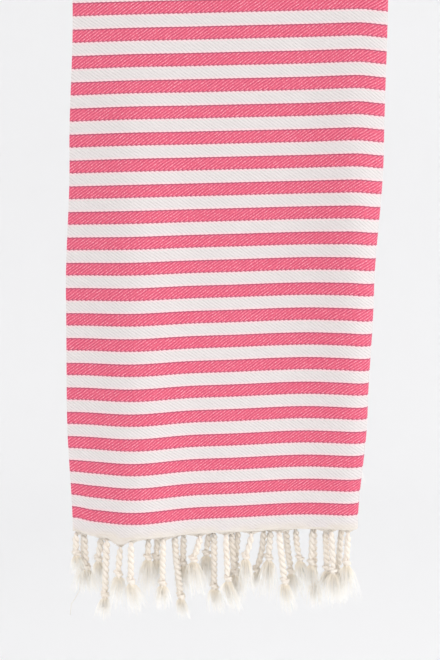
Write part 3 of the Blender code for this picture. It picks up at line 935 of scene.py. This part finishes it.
def make_brushes(name, end, tassels, seed, material):
    """All the brushes of one end as one mesh."""
    chance = random.Random(seed)
    threads = new_lines(name + "_threads", 3)
    for tassel in tassels:
        add_brush(threads.data, end, tassel, chance)
    return finish_lines(name, [threads], material, rounded=False)


# The threads are painted darker and warmer near the knot, as shade in the brush's dense neck, and paler
# towards the tips.
BRUSH_ROOT = ((0.985, 0.915, 0.800), (0.970, 0.865, 0.710))     # a pale and a darker thread, near the knot
BRUSH_TIP = ((0.985, 0.965, 0.925), (0.970, 0.935, 0.870))      # the same threads, at their tips


def loose_cotton():
    """Untwisted cotton: cream near the knot, darkened there as painted shade, and very pale at the tips,
    with some threads darker.
    """
    material = bpy.data.materials.new("loose_cotton")
    material.use_nodes = True
    tree = material.node_tree
    shader = tree.nodes["Principled BSDF"]
    spot = tree.nodes.new("ShaderNodeTexCoord").outputs["Object"]
    uv = tree.nodes.new("ShaderNodeUVMap")
    uv.uv_map = "UVMap"
    split = tree.nodes.new("ShaderNodeSeparateXYZ")
    tree.links.new(uv.outputs[0], split.inputs[0])
    fine = add_noise(tree, spot, 700, 3)
    tone = add_math(tree, "ADD", add_math(tree, "MULTIPLY_ADD", add_noise(tree, spot, 70, 2), 1.2, -0.35),
                    add_math(tree, "MULTIPLY_ADD", fine, 1.0, -0.40), clamp=True)
    # Painted shade: darker, warmer cream near the knot, fading towards the tips.
    near_tip = add_math(tree, "MULTIPLY", split.outputs[0], 1.6, clamp=True)
    thread = add_mix(tree, near_tip, add_mix(tree, tone, *BRUSH_ROOT), add_mix(tree, tone, *BRUSH_TIP))
    tree.links.new(thread, shader.inputs["Base Color"])
    tree.links.new(add_math(tree, "MULTIPLY_ADD", fine, 0.10, 0.86), shader.inputs["Roughness"])
    shader.inputs["Specular IOR Level"].default_value = 0.2
    shader.inputs["Sheen Weight"].default_value = 0.6
    shader.inputs["Sheen Roughness"].default_value = 0.5
    return material


loose_yarn = loose_cotton()
front_brushes = make_brushes("front_brushes", 1, FRONT_TASSELS, 7, loose_yarn)
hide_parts("fringe_front")
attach(front_brushes, "root")


# Back fringe. The same cords, knots and brushes at the panel's other end, which hangs behind. Nothing of
# it shows from the front, so its cords are evenly spaced and their lengths are drawn at random.
BACK_TASSELS_PER_LAYER = 10
BACK_MARGIN = 0.012             # from the cloth's edges to the outermost cords
BACK_STRAY = 0.002              # how far a knot hangs to either side of its root
BACK_DROPS = (0.026, 0.046)
BACK_BENDS = (1.0, 1.5)
BACK_TUFTS = (0.022, 0.032)
BACK_LEANS = (-0.004, 0.004)
BACK_SEED = 12


def back_tassels():
    """Rows for the back fringe, with the same columns as those of the front."""
    chance = random.Random(BACK_SEED)
    left, right = edges(-BACK_LENGTH)
    count = 3 * BACK_TASSELS_PER_LAYER
    spacing = (right - left - 2 * BACK_MARGIN) / (count - 1)
    rows = []
    for k in range(count):
        layer = (FRONT, REAR, MIDDLE)[k % 3]
        root_x = left + BACK_MARGIN + k * spacing
        knot_x = root_x + chance.uniform(-BACK_STRAY, BACK_STRAY)
        hang = [chance.uniform(*span) for span in (BACK_DROPS, BACK_BENDS, BACK_TUFTS, BACK_LEANS)]
        rows.append((layer, root_x, knot_x, *hang))
    return rows


BACK_TASSELS = back_tassels()
back_cords = make_cords("back_cords", -1, BACK_TASSELS, 6, twisted_yarn)
back_brushes = make_brushes("back_brushes", -1, BACK_TASSELS, 8, loose_yarn)
for piece in (back_cords, back_brushes):
    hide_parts("fringe_back")
    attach(piece, "root")


# Studio. A round pale floor that sweeps up into a backdrop. Even light comes from all round, and soft
# lamps add to it from the right, from the front, low down at the fringe and on the backdrop's right.
FLOOR_Z = -1.75
FLOOR_RADIUS = 3.0
FLOOR_SIDES = 96
SWEEP_RADIUS = 1.2
SWEEP_STEP = 10                 # degrees
WALL_TOP = 2.2
bpy.ops.object.select_all(action="DESELECT")
bpy.ops.mesh.primitive_circle_add(vertices=FLOOR_SIDES, radius=FLOOR_RADIUS, fill_type="NGON",
                                  location=(0, 0, FLOOR_Z))
backdrop = bpy.context.object
backdrop.name = "backdrop"
bpy.ops.object.transform_apply()
bpy.ops.object.mode_set(mode="EDIT")
bpy.ops.mesh.select_mode(type="EDGE")
bpy.ops.mesh.select_all(action="SELECT")
turns = [math.radians(turn) for turn in range(SWEEP_STEP, 91, SWEEP_STEP)]
rim = [(FLOOR_RADIUS + SWEEP_RADIUS * math.sin(turn), FLOOR_Z + SWEEP_RADIUS * (1 - math.cos(turn)))
       for turn in turns]
rim.append((FLOOR_RADIUS + SWEEP_RADIUS, WALL_TOP))
shell = bmesh.from_edit_mesh(backdrop.data)
for next_radius, next_height in rim:
    outer = [edge for edge in shell.edges if len(edge.link_faces) < 2]
    made = bmesh.ops.extrude_edge_only(shell, edges=outer)["geom"]
    for vert in [part for part in made if isinstance(part, bmesh.types.BMVert)]:
        flat_length = math.hypot(vert.co.x, vert.co.y)
        vert.co.x *= next_radius / flat_length
        vert.co.y *= next_radius / flat_length
        vert.co.z = next_height
bmesh.update_edit_mesh(backdrop.data)
bpy.ops.mesh.select_all(action="SELECT")
bpy.ops.mesh.normals_make_consistent(inside=True)
bpy.ops.object.mode_set(mode="OBJECT")
bpy.ops.object.shade_smooth()
PALE_PAINT = (0.903, 0.903, 0.908, 1)
paint = bpy.data.materials.new("pale_paint")
paint.use_nodes = True
paint_shader = paint.node_tree.nodes["Principled BSDF"]
paint_shader.inputs["Base Color"].default_value = PALE_PAINT
paint_shader.inputs["Roughness"].default_value = 0.95
paint_shader.inputs["Specular IOR Level"].default_value = 0.1
backdrop.data.materials.append(paint)

LIGHTS = (
    # name, location, aim, watts, size
    ("front", (0.0, -3.0, -0.5), (0, 0, -0.65), 11, 2.4),
    ("low", (0.2, -1.9, -1.3), (0, 0, -0.95), 4.6, 0.8),
    ("side", (2.6, -0.3, -0.3), (0, 0, -0.6), 20, 1.6),
    ("wall", (2.0, 2.4, 0.1), (1.1, 4.2, -1.0), 2.2, 1.0),
)
for name, location, aim, watts, size in LIGHTS:
    bpy.ops.object.light_add(type="AREA", location=location)
    lamp = bpy.context.object
    lamp.name = name
    lamp.data.shape = "DISK"
    lamp.data.size = size
    lamp.data.energy = watts
    lamp.rotation_euler = (Vector(aim) - Vector(location)).to_track_quat("-Z", "Y").to_euler()
    lamp.visible_camera = False

EVEN_LIGHT = 1.03
world = bpy.data.worlds.new("studio")
world.use_nodes = True
background = world.node_tree.nodes["Background"]
background.inputs["Color"].default_value = (1, 1, 1, 1)
background.inputs["Strength"].default_value = EVEN_LIGHT
bpy.context.scene.world = world
bpy.context.scene.view_settings.view_transform = "Standard"
